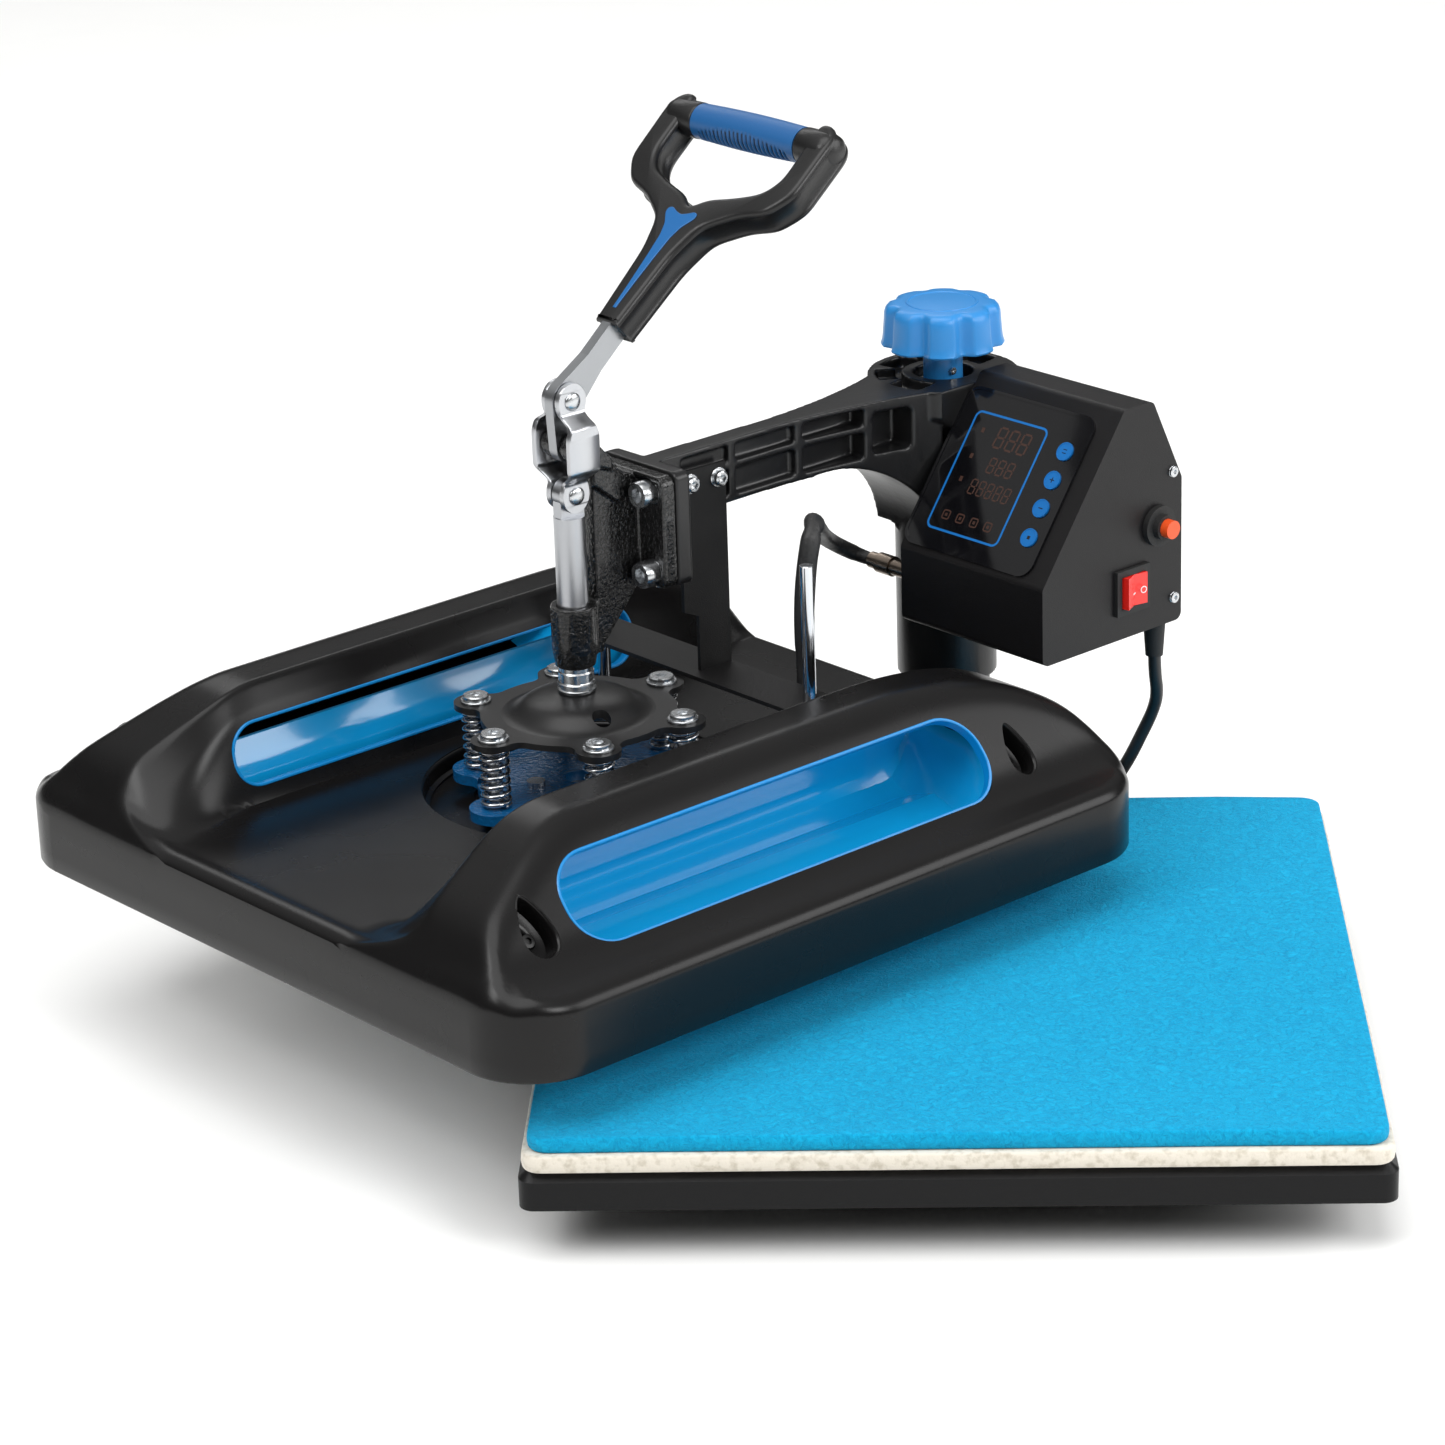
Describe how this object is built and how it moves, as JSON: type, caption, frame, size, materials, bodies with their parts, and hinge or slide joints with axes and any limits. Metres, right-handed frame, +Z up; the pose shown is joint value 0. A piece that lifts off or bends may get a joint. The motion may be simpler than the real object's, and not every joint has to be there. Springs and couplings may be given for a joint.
{
  "type": "swing-away heat press",
  "caption": "Swing-away heat press with a toggle lever, sprung heating plate under a windowed cover, pressure knob, padded lower plate and control box.",
  "frame": {"origin": "on the axis of the column, at the height of the table the feet stand on", "axes": "+X to the user's right, +Y away from the user, +Z up"},
  "size_m": [0.6379, 0.5387, 0.4239],
  "materials": {
    "black_paint": "gloss",
    "wrinkle_black": "wrinkle",
    "pad_plate": "satin",
    "felt": "felted",
    "azure_silicone": "matt",
    "foot_rubber": "matt",
    "zinc": "zinc plated",
    "chrome": "polished",
    "cord_black": "matt",
    "plug_black": "matt",
    "arm_black": "painted",
    "bronze": "plain",
    "box_black": "satin",
    "panel_black": "gloss",
    "board_green": "satin",
    "relay_dark": "matt",
    "switch_black": "satin",
    "rocker_red": "gloss",
    "button_blue": "gloss",
    "reset_orange": "gloss",
    "socket_metal": "plain",
    "cable_sleeve": "woven",
    "knob_blue": "satin",
    "handle_black": "textured",
    "grip_blue": "satin",
    "inlay_blue": "gloss",
    "spider_blue": "hammered",
    "heater_alloy": "cast",
    "fibre": "matt",
    "liner_blue": "gloss",
    "cover_black": "gloss",
    "screw_black": "blackened",
    "spring_steel": "plain",
    "frame_black": "satin"
  },
  "bodies": {
    "base": {"base_frame": "frame_black", "base_plate": "pad_plate", "felt_pad": "felt", "silicone_pad": "azure_silicone", "rubber_feet": "foot_rubber", "post": "black_paint", "post_bolts": "zinc", "cord_floor": "cord_black", "cord_coil": "cord_black", "cord_tail": "cord_black", "mains_plug": "plug_black"},
    "swivel": {"thrust_washer": "zinc", "cord_drop": "cord_black"},
    "arm": {"arm_casting": "arm_black", "sleeve_bush": "bronze", "toggle_casting": "wrinkle_black", "casting_bolts": "zinc", "pivot_pin": "zinc", "guide_bracket": "black_paint", "bracket_screws": "zinc", "guide_crossbar": "black_paint", "control_box": "box_black", "side_plate": "box_black", "box_screws": "screw_black", "display_panel": "panel_black", "circuit_board": "board_green", "relay": "relay_dark", "rocker_bezel": "switch_black", "breaker_body": "switch_black", "heater_socket": "socket_metal", "heater_cable": "cable_sleeve", "cord_gland": "plug_black"},
    "knob": {"knob": "knob_blue", "pressure_screw": "zinc"},
    "handle": {"lever_bar": "zinc", "handle_frame": "handle_black", "grip_sleeve": "grip_blue", "handle_inlay": "inlay_blue"},
    "links": {"toggle_links": "zinc", "link_rivets": "zinc"},
    "plunger": {"plunger_shaft": "chrome", "plunger_nut": "zinc", "upper_spider": "black_paint"},
    "platen": {"platen_bolts": "zinc", "springs": "spring_steel", "lower_spider": "spider_blue", "keyhole_screws": "zinc", "heating_plate": "heater_alloy", "insulation": "fibre", "platen_liner": "liner_blue", "top_cover": "cover_black", "cover_screws": "screw_black", "guide_rods": "chrome"},
    "button_1": {"button_1": "button_blue"},
    "button_2": {"button_2": "button_blue"},
    "button_3": {"button_3": "button_blue"},
    "button_4": {"button_4": "button_blue"},
    "rocker": {"rocker_key": "rocker_red"},
    "breaker": {"breaker_button": "reset_orange"}
  },
  "joints": [
    {"name": "arm_swing", "type": "hinge", "parent": "base", "child": "swivel", "pos_m": [0, 0, 0], "axis": [0, 0, 1], "range_deg": [-44, 46]},
    {"name": "arm_height", "type": "slide", "parent": "swivel", "child": "arm", "axis": [0, 0, 1], "range_m": [0, 0.008]},
    {"name": "knob_turn", "type": "hinge", "parent": "arm", "child": "knob", "pos_m": [0, 0, 0.29], "axis": [0, 0, 1], "range_deg": [-5, 1655]},
    {"name": "handle_press", "type": "hinge", "parent": "arm", "child": "handle", "pos_m": [-0.1766, -0.17054, 0.2886], "axis": [0.6947, -0.7193, 0], "range_deg": [0, 107.8]},
    {"name": "link_pivot", "type": "hinge", "parent": "handle", "child": "links", "pos_m": [-0.1766, -0.17054, 0.3111], "axis": [0.6947, -0.7193, 0], "range_deg": [-82, 1]},
    {"name": "plunger_slide", "type": "slide", "parent": "arm", "child": "plunger", "axis": [0, 0, -1], "range_m": [-0.0002, 0.0245], "deforming": ["heater_cable"]},
    {"name": "platen_float", "type": "slide", "parent": "plunger", "child": "platen", "axis": [0, 0, 1], "range_m": [0, 0.008], "stiffness_N_per_m": 12000, "springref_m": -0.012, "deforming": ["springs"]},
    {"name": "button_1_press", "type": "slide", "parent": "arm", "child": "button_1", "axis": [0.5795, 0.5596, -0.5925], "range_m": [0, 0.0008], "stiffness_N_per_m": 900, "springref_m": -0.0005},
    {"name": "button_2_press", "type": "slide", "parent": "arm", "child": "button_2", "axis": [0.5795, 0.5596, -0.5925], "range_m": [0, 0.0008], "stiffness_N_per_m": 900, "springref_m": -0.0005},
    {"name": "button_3_press", "type": "slide", "parent": "arm", "child": "button_3", "axis": [0.5795, 0.5596, -0.5925], "range_m": [0, 0.0008], "stiffness_N_per_m": 900, "springref_m": -0.0005},
    {"name": "button_4_press", "type": "slide", "parent": "arm", "child": "button_4", "axis": [0.5795, 0.5596, -0.5925], "range_m": [0, 0.0008], "stiffness_N_per_m": 900, "springref_m": -0.0005},
    {"name": "rocker_tilt", "type": "hinge", "parent": "arm", "child": "rocker", "pos_m": [0.09, -0.08686, 0.183], "axis": [0, 0, 1], "range_deg": [-14, 0]},
    {"name": "breaker_press", "type": "slide", "parent": "arm", "child": "breaker", "axis": [-0.6947, 0.7193, 0], "range_m": [0, 0.0015], "stiffness_N_per_m": 1500, "springref_m": -0.0008}
  ],
  "couplings": [
    {"joint": "knob_turn", "follows": "arm_height", "rad_per_m": 3590.4},
    {"joint": "link_pivot", "follows": "handle_press", "ratio": -0.74252},
    {"joint": "plunger_slide", "follows": "handle_press", "m_per_rad": 0.012801}
  ]
}
